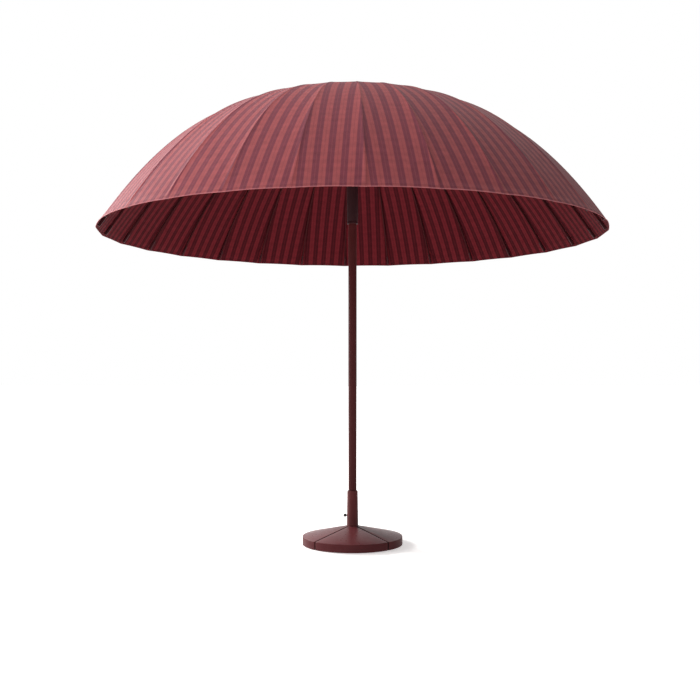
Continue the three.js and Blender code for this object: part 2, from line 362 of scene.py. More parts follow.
def grain(tree, size, detail=3.0):
    """Noise whose lumps are about this size in metres, on the piece's own coordinates."""
    place = add_node(tree, "ShaderNodeTexCoord").outputs["Object"]
    noise = add_node(tree, "ShaderNodeTexNoise", Vector=place, Scale=1 / size, Detail=detail)
    return noise.outputs["Fac"]


def between(tree, amount, low, high):
    """A pattern's middle range spread from low to high."""
    return add_node(tree, "ShaderNodeMapRange", Value=amount, From_Min=0.3, From_Max=0.7,
                    To_Min=low, To_Max=high).outputs["Result"]


def mixed(tree, amount, first, second, blend="MIX"):
    """Two colours mixed by an amount."""
    return add_node(tree, "ShaderNodeMix", {"data_type": "RGBA", "blend_type": blend},
                    i0=amount, i6=first, i7=second).outputs[2]


def canopy_cloth(name, light, dark, rubbed, sheen, gloss):
    """Solution-dyed polyester, plain woven in two broad warp stripes.

    It is matt, with a faint fuzz at a glancing angle.
    """
    material, tree, shader = blank(name, Metallic=0.0, IOR=1.46, Sheen_Weight=sheen,
                                   Specular_IOR_Level=gloss, Sheen_Roughness=0.45,
                                   Sheen_Tint=(1, 1, 1, 1))
    cut_cloth = add_node(tree, "ShaderNodeUVMap", {"uv_map": "cut"}).outputs["UV"]
    places = add_node(tree, "ShaderNodeSeparateXYZ", Vector=cut_cloth).outputs
    across, along = places["X"], places["Y"]
    stripe = maths(tree, "FRACT", maths(tree, "DIVIDE", across, STRIPE_PERIOD))
    ramp = add_node(tree, "ShaderNodeValToRGB", Fac=stripe)
    # A dark stripe and a light one, each with a fine line of the other's yarn down its middle.
    stops = [(0.0, 0.5), (0.02, 0.0), (0.21, 0.0), (0.23, 0.35), (0.27, 0.35), (0.29, 0.0), (0.48, 0.0),
             (0.52, 1.0), (0.71, 1.0), (0.73, 0.7), (0.77, 0.7), (0.79, 1.0), (0.98, 1.0), (1.0, 0.5)]
    elements = ramp.color_ramp.elements
    for place, _ in stops[2:]:
        elements.new(place)
    for element, (place, shade) in zip(elements, stops):
        element.position = place
        element.color = (shade, shade, shade, 1)
    colour = mixed(tree, ramp.outputs["Color"], linear(dark), linear(light))
    band = maths(tree, "SINE", maths(tree, "MULTIPLY", along, math.tau / CROSS_BAND_PITCH))
    fading = add_node(tree, "ShaderNodeMapRange", Value=band, From_Min=-0.4, From_Max=0.4,
                      To_Min=0.94, To_Max=1.0).outputs["Result"]
    mottle = between(tree, grain(tree, 0.03), 0.9, 1.06)
    streak_place = add_node(tree, "ShaderNodeCombineXYZ",
                            X=maths(tree, "MULTIPLY", across, STREAKS_ACROSS),
                            Y=maths(tree, "MULTIPLY", along, STREAKS_ALONG))
    streaks = add_node(tree, "ShaderNodeTexNoise", Vector=streak_place.outputs[0], Scale=1.0,
                       Detail=2.0)
    yarn = between(tree, streaks.outputs["Fac"], 0.93, 1.05)
    shade = maths(tree, "MULTIPLY", maths(tree, "MULTIPLY", fading, mottle), yarn)
    seam = add_node(tree, "ShaderNodeAttribute", {"attribute_name": "from_seam"}).outputs["Fac"]
    hem = add_node(tree, "ShaderNodeAttribute", {"attribute_name": "from_rim"}).outputs["Fac"]
    # A row of stitches, 4 mm long and 2 mm apart, inside each seam and above the hem.
    seam_row = maths(tree, "COMPARE", seam, SEAM_STITCHES, 0.0006)
    # The row above the hem is drawn wider than the seams': part thread, part painted shade under the hem's
    # fold.
    hem_row = maths(tree, "COMPARE", hem, HEM_STITCHES, 0.0012)
    seam_dash, hem_dash = [
        maths(tree, "LESS_THAN", maths(tree, "FRACT", maths(tree, "DIVIDE", run, STITCH_PITCH)),
              STITCH_SHARE) for run in (along, across)]
    stitches = maths(tree, "MAXIMUM", maths(tree, "MULTIPLY", seam_row, seam_dash),
                     maths(tree, "MULTIPLY", hem_row, hem_dash))
    thread = maths(tree, "SUBTRACT", 1.0, maths(tree, "MULTIPLY", stitches, STITCH_SHADE))
    shade = maths(tree, "MULTIPLY", shade, thread)
    # The folded edge of the hem is painted paler, a painted highlight where the rolled hem catches the
    # light.
    edge = add_node(tree, "ShaderNodeMapRange", Value=hem, From_Min=HEM_HIGHLIGHT_WIDTH, From_Max=0.5 * HEM_HIGHLIGHT_WIDTH,
                    To_Min=0.0, To_Max=0.35).outputs["Result"]
    colour = mixed(tree, edge, colour, linear(rubbed))
    grey = add_node(tree, "ShaderNodeCombineColor", Red=shade, Green=shade, Blue=shade).outputs[0]
    tree.links.new(mixed(tree, 1.0, colour, grey, "MULTIPLY"), shader.inputs["Base Color"])
    # The weave is drawn at 3 mm, where the yarns are 0.6 mm apart, so that it shows.
    warp = maths(tree, "SINE", maths(tree, "MULTIPLY", across, math.tau / WEAVE_PITCH))
    weft = maths(tree, "SINE", maths(tree, "MULTIPLY", along, math.tau / WEAVE_PITCH))
    weave = maths(tree, "MULTIPLY", warp, weft)
    height = maths(tree, "SUBTRACT", weave, maths(tree, "MULTIPLY", stitches, STITCH_DEPTH))
    bump = add_node(tree, "ShaderNodeBump", Height=height, Strength=0.35, Distance=0.0003)
    tree.links.new(bump.outputs["Normal"], shader.inputs["Normal"])
    tree.links.new(between(tree, grain(tree, 0.01), 0.78, 0.92), shader.inputs["Roughness"])
    return material


def powder_coat(name, colour, worn, roughness, gloss, lump=0.0016, depth=0.00012, dust=0.0):
    """Polyester powder coat baked on metal: a satin skin with a fine orange peel and paler dust."""
    material, tree, shader = blank(name, Metallic=0.0, IOR=1.5, Specular_IOR_Level=gloss)
    broad = between(tree, grain(tree, 0.06), 0.0, 1.0)
    fine = between(tree, grain(tree, 0.004), 0.0, 1.0)
    patch = maths(tree, "MULTIPLY", maths(tree, "MULTIPLY", broad, fine), 0.35 + dust)
    edge = add_node(tree, "ShaderNodeNewGeometry").outputs["Pointiness"]
    rubbed = add_node(tree, "ShaderNodeMapRange", Value=edge, From_Min=0.54, From_Max=0.62,
                      To_Min=0.0, To_Max=0.5).outputs["Result"]
    amount = maths(tree, "MINIMUM", maths(tree, "ADD", patch, rubbed), 1.0)
    tree.links.new(mixed(tree, amount, linear(colour), linear(worn)), shader.inputs["Base Color"])
    satin = between(tree, grain(tree, 0.02), roughness - 0.05, roughness + 0.07)
    tree.links.new(satin, shader.inputs["Roughness"])
    bump = add_node(tree, "ShaderNodeBump", Height=grain(tree, lump, 2.0), Strength=0.4, Distance=depth)
    tree.links.new(bump.outputs["Normal"], shader.inputs["Normal"])
    return material


def pultruded_rib():
    """Pultruded glass fibre under burgundy paint: fine lines run along it, with a dull gloss."""
    material, tree, shader = blank("pultruded_glass_fibre", Metallic=0.0, IOR=1.5,
                                   Specular_IOR_Level=0.02)
    place = add_node(tree, "ShaderNodeTexCoord").outputs["Object"]
    stretched = add_node(tree, "ShaderNodeMapping", Vector=place, Scale=(60, 60, 900))
    lines = add_node(tree, "ShaderNodeTexNoise", Vector=stretched.outputs[0], Scale=1.0, Detail=2.0)
    amount = between(tree, lines.outputs["Fac"], 0.0, 1.0)
    tree.links.new(mixed(tree, amount, linear("#301216"), linear("#40191a")),
                   shader.inputs["Base Color"])
    tree.links.new(between(tree, grain(tree, 0.01), 0.75, 0.9), shader.inputs["Roughness"])
    bump = add_node(tree, "ShaderNodeBump", Height=lines.outputs["Fac"], Strength=0.3, Distance=0.0001)
    tree.links.new(bump.outputs["Normal"], shader.inputs["Normal"])
    return material


def moulded_nylon(name, colour, rubbed, gloss):
    """Moulded nylon, dyed through: a fine spark-eroded grain with paler, worn patches."""
    material, tree, shader = blank(name, Metallic=0.0, IOR=1.53, Specular_IOR_Level=gloss)
    amount = between(tree, grain(tree, 0.008), 0.0, 1.0)
    tree.links.new(mixed(tree, amount, linear(colour), linear(rubbed)), shader.inputs["Base Color"])
    tree.links.new(between(tree, grain(tree, 0.006), 0.34, 0.48), shader.inputs["Roughness"])
    bump = add_node(tree, "ShaderNodeBump", Height=grain(tree, 0.0009, 1.0),
                    Strength=0.3, Distance=0.0001)
    tree.links.new(bump.outputs["Normal"], shader.inputs["Normal"])
    return material


def zinc_plated_steel():
    """Zinc-plated steel: bright grey metal with faint cloudy patches."""
    material, tree, shader = blank("zinc_plated_steel", Metallic=1.0)
    amount = between(tree, grain(tree, 0.005), 0.0, 1.0)
    tree.links.new(mixed(tree, amount, linear("#8d8f92"), linear("#b2b3b4")),
                   shader.inputs["Base Color"])
    tree.links.new(between(tree, grain(tree, 0.003), 0.26, 0.42), shader.inputs["Roughness"])
    return material


def painted_joint_shade():
    """Painted shade on the faces where two weights face each other: rough and almost black."""
    material, tree, shader = blank("bare_dark_casting", Metallic=0.0, IOR=1.5, Specular_IOR_Level=0.15)
    amount = between(tree, grain(tree, 0.004), 0.0, 1.0)
    tree.links.new(mixed(tree, amount, linear("#120709"), linear("#221113")),
                   shader.inputs["Base Color"])
    tree.links.new(between(tree, grain(tree, 0.003), 0.75, 0.9), shader.inputs["Roughness"])
    bump = add_node(tree, "ShaderNodeBump", Height=grain(tree, 0.002, 3.0),
                    Strength=0.5, Distance=0.0003)
    tree.links.new(bump.outputs["Normal"], shader.inputs["Normal"])
    return material


def moulded_rubber():
    """Black moulded rubber: matt, with a bloom of grey dust."""
    material, tree, shader = blank("moulded_rubber", Metallic=0.0, IOR=1.52)
    amount = between(tree, grain(tree, 0.015), 0.0, 1.0)
    tree.links.new(mixed(tree, amount, linear("#171616"), linear("#2a2827")),
                   shader.inputs["Base Color"])
    tree.links.new(between(tree, grain(tree, 0.004), 0.8, 0.95), shader.inputs["Roughness"])
    bump = add_node(tree, "ShaderNodeBump", Height=grain(tree, 0.0012, 2.0),
                    Strength=0.4, Distance=0.0002)
    tree.links.new(bump.outputs["Normal"], shader.inputs["Normal"])
    return material


# The face's third colour is a painted highlight along the hem's folded edge.
CLOTH_OUTSIDE = canopy_cloth("striped_cloth_face", "#8a4143", "#682d38", "#cc8082", sheen=0.07, gloss=0.12)
# The back is the same cloth, given darker colours as painted shade inside the dome.
CLOTH_INSIDE = canopy_cloth("striped_cloth_back", "#54151b", "#370a10", "#54151b", sheen=0.0, gloss=0.05)
POLE_PAINT = powder_coat("pole_powder_coat", "#3e1415", "#502324", roughness=0.5, gloss=0.1)
RUNNER_PAINT = powder_coat("runner_powder_coat", "#24080c", "#341318", roughness=0.55, gloss=0.12)
SOCKET_PAINT = powder_coat("socket_powder_coat", "#552122", "#6a3433", roughness=0.45, gloss=0.2)
BASE_PAINT = powder_coat("weight_powder_coat", "#642b2f", "#82504f",
                         roughness=0.32, gloss=0.35, lump=0.0025, depth=0.0003, dust=0.1)
# The upright edge's paint is the top's paint darkened, a painted shade.
SHADED_EDGE_PAINT = powder_coat("weight_edge_powder_coat", "#4c2023", "#663a3b",
                         roughness=0.5, gloss=0.08, lump=0.0025, depth=0.0003)
JOINT_SHADE = painted_joint_shade()
RIB_FINISH = pultruded_rib()
NYLON = moulded_nylon("black_moulded_nylon", "#131214", "#201e20", gloss=0.4)
TIP_NYLON = moulded_nylon("burgundy_moulded_nylon", "#2c1013", "#3d1a1d", gloss=0.05)
STEEL = zinc_plated_steel()
RUBBER = moulded_rubber()


# ---- the dome ----

def dome_height(radius):
    return RIM_HEIGHT + DOME_RISE * (1 - (radius / CANOPY_RADIUS) ** DOME_POWER)


def dome_tilt(radius):
    """How far the dome leans from level at this radius."""
    share = (radius / CANOPY_RADIUS) ** (DOME_POWER - 1)
    return math.atan(DOME_RISE * DOME_POWER * share / CANOPY_RADIUS)


def inside_dome(radius, depth):
    """The point this far inside the dome's outer face, on the rib that runs along +X."""
    tilt = dome_tilt(radius)
    return Vector((radius - depth * math.sin(tilt), 0, dome_height(radius) - depth * math.cos(tilt)))


def rib_turn(rib):
    """The direction of a rib from +X, read from its joint."""
    x, y, _ = JOINTS[f"{rib}_fold"]["pos_m"]
    return math.atan2(y, x)


RIBS = [f"rib_{i + 1:02d}" for i in range(RIB_COUNT)]
STRUTS = [name.replace("_turn", "") for name in JOINTS if name.startswith("strut_")]


# ---- canopy ----

def smoothstep(value):
    value = min(max(value, 0.0), 1.0)
    return value * value * (3 - 2 * value)


def arc_lengths(radii):
    """The length along the dome's profile from the first radius to each one."""
    lengths = [0.0]
    for inner, outer in zip(radii, radii[1:]):
        rise = dome_height(outer) - dome_height(inner)
        lengths.append(lengths[-1] + math.hypot(outer - inner, rise))
    return lengths


def gore_radii():
    """The rows of a panel: even ones to the hem, then close ones over the hem and its rolled edge."""
    start = HUB_PIVOT_RADIUS * 0.95
    slant = math.cos(dome_tilt(CANOPY_RADIUS))
    hem_start = CANOPY_RADIUS - HEM_DEPTH * slant
    radii = [start + (hem_start - start) * (i / PANEL_ROWS) ** 0.95 for i in range(PANEL_ROWS + 1)]
    hem_steps = [0.0012, 0.008, 0.014, 0.018, 0.0205, 0.022, 0.0232, HEM_DEPTH]
    return radii + [hem_start + step * slant for step in hem_steps]


def gore_columns(half_width):
    """Distances from the seam: close ones over its fold, then even ones to the gore's middle."""
    shrink = min(1.0, 0.25 * half_width / (SEAM_HALF_WIDTH + SEAM_SHOULDER))
    close = [0, 0.5 * SEAM_HALF_WIDTH, SEAM_HALF_WIDTH, SEAM_HALF_WIDTH + SEAM_SHOULDER]
    close = [distance * shrink for distance in close]
    rest = half_width - close[-1]
    return close + [close[-1] + rest * (i + 1) / PANEL_STEPS for i in range(PANEL_STEPS)]


def cloth_lift(radius, distance, half_width, from_rim, pucker):
    """How far the cloth's face stands off the flat gore.

    It takes in the seam, the hem, the pull between the ribs and small puckers.
    """
    seam = SEAM_LIFT * (1 - smoothstep((distance - SEAM_HALF_WIDTH) / SEAM_SHOULDER))
    hem = HEM_LIFT * smoothstep((HEM_DEPTH + 0.0006 - from_rim) / 0.0012)
    roll = 0.0
    if from_rim < 2 * ROLL_RADIUS:
        roll = ROLL_LIFT * math.sqrt(max(0.0, 1 - ((from_rim - ROLL_RADIUS) / ROLL_RADIUS) ** 2))
    share = distance / half_width
    reach = (radius - HUB_PIVOT_RADIUS) / (CANOPY_RADIUS - HUB_PIVOT_RADIUS)
    reach = min(max(reach, 0.0), 1.0)
    bow = 1 - (1 - share) ** 2
    sag = GORE_SAG * bow * math.sin(math.pi * reach ** 3)
    fullness = HEM_FULLNESS * radius * (1 - math.cos(HALF_GORE)) * bow * reach ** 4
    near_seam = math.exp(-distance / 0.02) * (1 - share) * smoothstep((distance - 0.002) / 0.006)
    near_hem = math.exp(-from_rim / 0.03) * math.sin(math.pi * share) * 0.6
    wave = math.sin(math.tau * from_rim / PUCKER_PITCH + pucker) * near_seam
    wave += math.sin(math.tau * distance / PUCKER_PITCH + pucker) * near_hem * (1 - share)
    return max(seam, hem) + roll - sag + fullness + PUCKER_HEIGHT * wave


def panel_mesh(index):
    """One rib's share of the canopy, between the middles of its two gores, on the rib along +X."""
    radii = gore_radii()
    lengths = arc_lengths(radii)
    columns = len(gore_columns(1.0))
    vertices, uvs, seams, rims = [], [], [], []
    for radius, length in zip(radii, lengths):
        half_width = radius * math.sin(HALF_GORE)
        distances = gore_columns(half_width)
        from_rim = lengths[-1] - length
        tilt = dome_tilt(radius)
        offsets = [-d for d in reversed(distances[1:])] + distances
        for offset in offsets:
            side = 1 if offset >= 0 else -1
            distance = abs(offset)
            lift = cloth_lift(radius, distance, half_width, from_rim, pucker=1.7 * index + side)
            outward = side * HALF_GORE * smoothstep(distance / half_width)
            flat = Vector((radius - distance * math.sin(HALF_GORE), offset * math.cos(HALF_GORE),
                           dome_height(radius)))
            away = Vector((math.sin(tilt) * math.cos(outward), math.sin(tilt) * math.sin(outward),
                           math.cos(tilt)))
            vertices.append(flat + lift * away)
            uvs.append((half_width - distance, length))
            seams.append(distance)
            rims.append(from_rim)
    row = 2 * columns - 1
    faces = [(i * row + j, (i + 1) * row + j, (i + 1) * row + j + 1, i * row + j + 1)
             for i in range(len(radii) - 1) for j in range(row - 1)]
    mesh = bpy.data.meshes.new("panel")
    mesh.from_pydata(vertices, [], faces)
    layer = mesh.uv_layers.new(name="cut")
    for face in mesh.polygons:
        left = face.center.y < 0
        gore = (index - 1 if left else index) % RIB_COUNT
        shift = STRIPE_PERIOD / 4 * (1 if gore % LIGHT_GORE_STEP == FIRST_LIGHT_GORE else -1)
        for corner in face.loop_indices:
            across, along = uvs[mesh.loops[corner].vertex_index]
            layer.data[corner].uv = ((across if left else -across) - shift, along)
    mesh.attributes.new("from_seam", "FLOAT", "POINT").data.foreach_set("value", seams)
    mesh.attributes.new("from_rim", "FLOAT", "POINT").data.foreach_set("value", rims)
    return mesh


def canopy_panel(index, rib):
    """The panel on its rib, which folds with it."""
    turn = rib_turn(rib)
    mesh = panel_mesh(index)
    mesh.transform(Matrix.Rotation(turn, 4, "Z"))
    panel = bpy.data.objects.new(f"canopy_panel_{index + 1:02d}", mesh)
    bpy.context.scene.collection.objects.link(panel)
    coat(panel, CLOTH_OUTSIDE, CLOTH_INSIDE)
    apply_modifier(panel, "SOLIDIFY", thickness=CLOTH_THICKNESS, offset=-1, material_offset=1,
                   material_offset_rim=0)
    take(panel)
    bpy.ops.object.shade_smooth_by_angle(angle=CLOTH_SMOOTH)
    finish_piece(panel, rib, "cloth", "canopy")
    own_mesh(panel)


def crown_cap():
    """The round patch of cloth sewn over the crown, where all the seams meet."""
    rows = [CAP_EYE + (CAP_RADIUS - CAP_EYE) * (i / CAP_ROWS) for i in range(CAP_ROWS + 1)]
    deselect()
    bpy.ops.mesh.primitive_circle_add(vertices=96, radius=rows[0], fill_type="NGON",
                                      location=(0, 0, dome_height(rows[0])))
    cap = named("crown_cap")
    bpy.ops.object.mode_set(mode="EDIT")
    bpy.ops.mesh.select_all(action="SELECT")
    for inner, outer in zip(rows, rows[1:]):
        bpy.ops.mesh.extrude_edges_move(
            TRANSFORM_OT_translate={"value": (0, 0, dome_height(outer) - dome_height(inner))})
        bpy.ops.transform.resize(value=(outer / inner, outer / inner, 1),
                                 center_override=(0, 0, dome_height(outer)))
    settle(cap)
    cap.data.transform(Matrix.Translation((0, 0, CAP_LIFT)))
    layer = cap.data.uv_layers.new(name="cut")
    for corner in cap.data.loops:
        place = cap.data.vertices[corner.vertex_index].co
        layer.data[corner.index].uv = place.xy
    rims = [CAP_RADIUS - vertex.co.xy.length + HEM_STITCHES - CAP_STITCHES
            for vertex in cap.data.vertices]
    no_seam = [1.0] * len(rims)
    cap.data.attributes.new("from_rim", "FLOAT", "POINT").data.foreach_set("value", rims)
    cap.data.attributes.new("from_seam", "FLOAT", "POINT").data.foreach_set("value", no_seam)
    coat(cap, CLOTH_OUTSIDE)
    apply_modifier(cap, "SOLIDIFY", thickness=CLOTH_THICKNESS, offset=-1)
    take(cap)
    bpy.ops.object.shade_smooth_by_angle(angle=CLOTH_SMOOTH)
    finish_piece(cap, "pole", "cloth", "canopy")


# ---- ribs and struts ----

def square_bar(name, places, tilts, width, depth):
    """A flat bar drawn out through its stations on the plane y = 0, square to its run at each."""
    deselect()
    bpy.ops.mesh.primitive_plane_add(size=1, location=places[0],
                                     rotation=(0, math.pi / 2 + tilts[0], 0))
    bar = named(name)
    bar.scale = (depth, width, 1)
    bpy.ops.object.transform_apply(location=True, rotation=True, scale=True)
    bpy.ops.object.mode_set(mode="EDIT")
    bpy.ops.mesh.select_all(action="SELECT")
    for i in range(1, len(places)):
        bpy.ops.mesh.extrude_region_move(TRANSFORM_OT_translate={"value": places[i] - places[i - 1]})
        bpy.ops.transform.rotate(value=tilts[i - 1] - tilts[i], orient_axis="Y",
                                 center_override=places[i])
    return settle(bar)


def eye(name, middle, radius, width, hole):
    """A round boss lying across the bar, with a hole through it for a pivot."""
    reach = Vector((0, width / 2, 0))
    boss = round_bar(name, radius, middle - reach, middle + reach, 28)
    settle(boss)
    choose(boss, lambda centre, normal: abs(normal.y) > 0.9)
    bpy.ops.mesh.inset(thickness=radius - hole, use_individual=True)
    bpy.ops.mesh.bridge_edge_loops()
    return settle(boss)


def rib_piece():
    """A bowed glass-fibre bar with its pivot eye and the moulded cap that holds the cloth's corner."""
    start = HUB_PIVOT_RADIUS + RIB_DEPTH * 0.3
    end = CANOPY_RADIUS - RIB_TIP_INSET
    middle = RIB_TOP_DEPTH + RIB_DEPTH / 2
    stations = [start + (end - start) * (i / RIB_STATIONS) ** 0.9 for i in range(RIB_STATIONS + 1)]
    places = [inside_dome(radius, middle) for radius in stations]
    tilts = [dome_tilt(radius) for radius in stations]
    bar = square_bar("rib", places, tilts, RIB_WIDTH, RIB_DEPTH)
    soften(bar, RIB_WIDTH * BAR_ROUNDING)
    coat(bar, RIB_FINISH)
    boss = eye("rib_eye", inside_dome(HUB_PIVOT_RADIUS, middle), RIB_DEPTH / 2, RIB_WIDTH,
               WIRE_HOLE / 2)
    soften(boss, RIB_WIDTH * 0.06)
    coat(boss, RIB_FINISH)
    tip = inside_dome(end, middle)
    back = inside_dome(end - TIP_CAP_LENGTH, middle)
    cap = square_bar("rib_cap", [back, tip, tip + (tip - back) * 0.1], [tilts[-1]] * 3,
                     RIB_WIDTH + TIP_CAP_MARGIN, RIB_DEPTH + TIP_CAP_MARGIN)
    soften(cap, TIP_CAP_ROUNDING)
    coat(cap, TIP_NYLON)
    return join([bar, boss, cap])


def strut_piece():
    """A flat bar with an eye at each end, and the rivet that ties it to its rib."""
    x, y, height = JOINTS["strut_01_turn"]["pos_m"]
    inner = Vector((math.sqrt(x * x + y * y - STRUT_OFFSET ** 2), 0, height))
    outer = inside_dome(STRUT_RIB_RADIUS, STRUT_PIVOT_DEPTH)
    along = (outer - inner).normalized()
    lean = -math.asin(along.z)
    ends = [inner + along * EYE_OVERLAP, outer - along * EYE_OVERLAP]
    bar = square_bar("strut", ends, [lean, lean], STRUT_WIDTH * 0.8, STRUT_DEPTH)
    soften(bar, STRUT_WIDTH * BAR_ROUNDING)
    eyes = [eye(f"strut_eye_{i}", end, STRUT_DEPTH / 2, STRUT_WIDTH, WIRE_HOLE / 2)
            for i, end in enumerate((inner, outer))]
    for boss in eyes:
        soften(boss, STRUT_WIDTH * 0.1)
    strut = join([bar] + eyes)
    coat(strut, RIB_FINISH)
    side = Vector((0, STRUT_WIDTH / 2 + RIVET_STAND, 0))
    rivet = round_bar("rivet", RIVET_RADIUS, outer - side, outer + side, 20)
    settle(rivet)
    choose(rivet, lambda centre, normal: abs(normal.y) > 0.9)
    bpy.ops.mesh.extrude_region_shrink_fatten(TRANSFORM_OT_shrink_fatten={"value": 0.0001})
    bpy.ops.object.mode_set(mode="OBJECT")
    settle(rivet)
    soften(rivet, 0.0005)
    coat(rivet, STEEL)
    strut = join([strut, rivet])
    strut.data.transform(Matrix.Translation((0, STRUT_OFFSET, 0)))
    return strut


def ribs_and_struts():
    rib, strut = rib_piece(), strut_piece()
    for name in RIBS:
        piece = turned_copy(rib, f"bowed_{name}", rib_turn(name))
        finish_piece(piece, name, "rib_glass_fibre", name)
    for name in STRUTS:
        piece = turned_copy(strut, f"flat_{name}", rib_turn(name.replace("strut", "rib")))
        finish_piece(piece, name, "rib_glass_fibre", name)
    bpy.data.objects.remove(rib)
    bpy.data.objects.remove(strut)


# ---- hub and runner ----

def slots(name, ribs, inside, outside, offset, width, low, high):
    """The blocks that cut a slot for each rib or strut."""
    near, far = (inside, offset - width / 2, low), (outside, offset + width / 2, high)
    return [block(f"{name}_{rib}", near, far, rib_turn(rib)) for rib in ribs]


def hub():
    """The slotted crown on the pole's top, which the ribs turn in."""
    low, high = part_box("hub")
    bore, sleeve, rim = POLE_RADIUS + REST_GAP, POLE_RADIUS + HUB_WALL, high.x
    plate_bottom = mid_height("rib_ring") - RIB_DEPTH * 1.5
    crown = high.z
    recess = crown - RIB_DEPTH
    body = turned("slotted_hub", [
        (bore, low.z), (sleeve, low.z), (sleeve, plate_bottom), (rim, plate_bottom),
        (rim, crown), (HUB_EYE, crown), (HUB_EYE, recess), (bore, recess)], 3 * RIB_COUNT)
    cut(body, slots("hub_slot", RIBS, HUB_PIVOT_RADIUS - HUB_SLOT_REACH, rim + OVERCUT, 0,
                    RIB_WIDTH + SLOT_PLAY, plate_bottom - OVERCUT, crown + OVERCUT))
    soften(body, 0.0006, 2, 35)
    coat(body, NYLON)
    finish_piece(body, "pole", "black_plastic", "hub")


def runner():
    """The sleeve that slides on the pole: a turned tube, grooved near its foot.

    It flares at the top into a flange with a slot for each strut.
    """
    low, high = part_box("runner")
    inside = POLE_RADIUS + RUNNER_GAP
    outside = inside + RUNNER_WALL
    rim = high.x
    x, y, pivot_height = JOINTS["strut_01_turn"]["pos_m"]
    pivot = math.hypot(x, y)
    slot_floor = pivot_height - STRUT_DEPTH / 2 - PIVOT_PLAY
    flange_bottom = slot_floor - RUNNER_FLOOR
    floor_of_groove = outside - RUNNER_GROOVE
    body = turned("slotted_runner", [
        (inside, low.z), (outside, low.z), (outside, low.z + 0.012), (floor_of_groove, low.z + 0.0125),
        (floor_of_groove, low.z + 0.0145), (outside, low.z + 0.015), (outside, flange_bottom - 0.02),
        (outside + RUNNER_LIP, flange_bottom - 0.008), (rim, flange_bottom), (rim, high.z),
        (inside, high.z)], 64)
    ribs = [name.replace("strut", "rib") for name in STRUTS]
    start = math.sqrt(pivot ** 2 - STRUT_OFFSET ** 2) - STRUT_DEPTH / 2 - PIVOT_PLAY
    cut(body, slots("runner_slot", ribs, start, rim + 2 * OVERCUT, STRUT_OFFSET,
                    STRUT_WIDTH + SLOT_PLAY, slot_floor, high.z + OVERCUT))
    height = mid_height("lock_pin")
    cut(body, [round_bar("pin_hole", CROSS_HOLE, (0, inside - 0.005, height),
                         (0, outside + 0.01, height))])
    soften(body, 0.0008, 2, 35)
    coat(body, RUNNER_PAINT)
    finish_piece(body, "runner", "runner_paint", "runner")


def lock_pin():
    """A steel pin with a knurled pull, behind the pole."""
    low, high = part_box("lock_pin")
    radius = (high.z - low.z) / 2
    head = high.y - PULL_LENGTH
    pin = turned("lock_pin_pull", [
        (PIN_CORE, low.y), (PIN_STEM - 0.0006, low.y), (PIN_STEM, low.y + 0.0008), (PIN_STEM, head),
        (radius - 0.0006, head), (radius, head + 0.0006), (radius, high.y - 0.002),
        (radius - 0.002, high.y), (PIN_CORE, high.y)], 24)
    choose(pin, lambda centre, _: centre.z > head + 0.001 and centre.xy.length > radius * 0.97)
    bpy.ops.mesh.inset(thickness=0.0003, use_individual=True, depth=-0.0004)
    bpy.ops.object.mode_set(mode="OBJECT")
    height = mid_height("lock_pin")
    lie_back = Matrix.Translation((0, 0, height)) @ Matrix.Rotation(-math.pi / 2, 4, "X")
    pin.data.transform(lie_back)
    settle(pin)
    soften(pin, 0.0003, 1, 35)
    coat(pin, STEEL)
    finish_piece(pin, "lock_pin", "bare_steel", "lock_pin")


# ---- pole, socket and clamp ----

def pole():
    """A plain round tube with a hole behind for the lock pin."""
    low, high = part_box("pole")
    bore = POLE_RADIUS - POLE_WALL
    tube = turned("round_pole", [(bore, low.z), (POLE_RADIUS, low.z), (POLE_RADIUS, high.z),
                                 (bore, high.z)], 96)
    height = mid_height("lock_pin")
    cut(tube, [round_bar("pole_pin_hole", CROSS_HOLE, (0, 0, height),
                         (0, POLE_RADIUS + 0.01, height))])
    soften(tube, 0.0005, 2, 40)
    coat(tube, POLE_PAINT)
    finish_piece(tube, "pole", "pole_paint", "pole")


def socket():
    """The welded tube that holds the pole, with its flange and the weld bead between them."""
    low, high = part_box("socket")
    bore = BUSH_OUTSIDE + REST_GAP
    top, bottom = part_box("pole_bush")[1].x, SOCKET_FOOT_RADIUS
    flange_top = low.z + FLANGE_HEIGHT
    bead = [(bottom + out, flange_top + up) for out, up in WELD_BEAD]
    tube = turned("tapered_socket", [(bore, low.z), (high.x, low.z), (high.x, flange_top), *bead,
                                     (top, high.z), (bore, high.z)], 96)
    height = mid_height("clamp_knob")
    cut(tube, [round_bar("socket_screw_hole", CROSS_HOLE, (-POLE_RADIUS + 0.005, 0, height),
                         (-bottom - 0.01, 0, height))])
    soften(tube, 0.0005, 2, 30)
    coat(tube, SOCKET_PAINT)
    finish_piece(tube, "base", "socket_paint", "socket")


def socket_collar():
    """The bush's collar, a chamfered ring that caps the socket."""
    low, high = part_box("pole_bush")
    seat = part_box("socket")[1].z + REST_GAP
    rim = high.x
    collar = turned("socket_collar", [
        (BUSH_INSIDE, low.z), (BUSH_OUTSIDE, low.z), (BUSH_OUTSIDE, seat), (rim, seat),
        (rim, high.z - COLLAR_CHAMFER), (rim - COLLAR_CHAMFER, high.z), (BUSH_INSIDE, high.z)], 96)
    soften(collar, 0.0004, 2, 25)
    coat(collar, SOCKET_PAINT)
    finish_piece(collar, "base", "black_plastic", "pole_bush")


